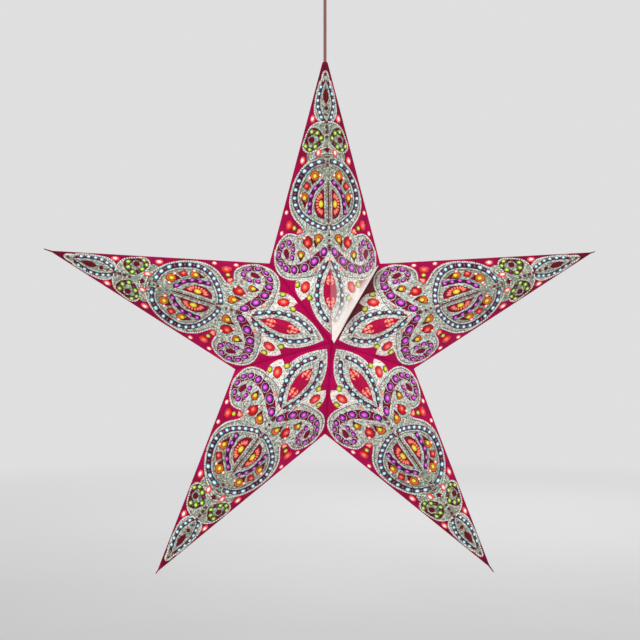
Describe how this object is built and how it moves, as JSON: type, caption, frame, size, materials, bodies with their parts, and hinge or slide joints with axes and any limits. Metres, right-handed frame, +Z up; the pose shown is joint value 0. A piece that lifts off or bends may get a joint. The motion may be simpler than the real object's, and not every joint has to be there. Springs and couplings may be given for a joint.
{
  "type": "paper star lantern",
  "caption": "Folded paper star lantern with pointed hollow arms glued along their seams, lit by a bulb in a lampholder on a straight cord from a small ceiling cup.",
  "frame": {"origin": "on the ceiling, midway between the two screw holes of the ceiling bracket", "axes": "+Z up towards the ceiling, the star lies in the XZ plane and its front faces -Y"},
  "size_m": [0.579, 0.2064, 0.6649],
  "materials": {
    "printed_paper": "thin magenta paper with a printed and glittered ornament, lit from inside",
    "cord_sleeve": "brownish pink textile sleeve",
    "holder_plastic": "off-white moulded plastic",
    "core_ceramic": "pale unglazed insulator",
    "contact_brass": "plain brass",
    "bulb_glass": "frosted warm bulb",
    "cup_enamel": "off-white enamel on pressed steel",
    "plated_steel": "zinc plated",
    "block_plastic": "pale translucent plastic"
  },
  "bodies": {
    "root": {"arm_top": "printed_paper", "arm_left": "printed_paper", "arm_lower_left": "printed_paper", "arm_lower_right": "printed_paper", "arm_right": "printed_paper", "hanging_cord": "cord_sleeve", "holder_cap": "holder_plastic", "holder_grip": "holder_plastic", "holder_body": "holder_plastic", "holder_core": "core_ceramic", "screw_shell": "contact_brass", "centre_contact": "contact_brass", "terminal_screws": "contact_brass", "bulb": "bulb_glass", "ceiling_cup": "cup_enamel", "ceiling_bracket": "plated_steel", "ceiling_nipple": "contact_brass", "nipple_nut": "plated_steel", "ceiling_cord_grip": "holder_plastic", "grip_screw": "plated_steel", "terminal_block": "block_plastic"}
  },
  "joints": []
}
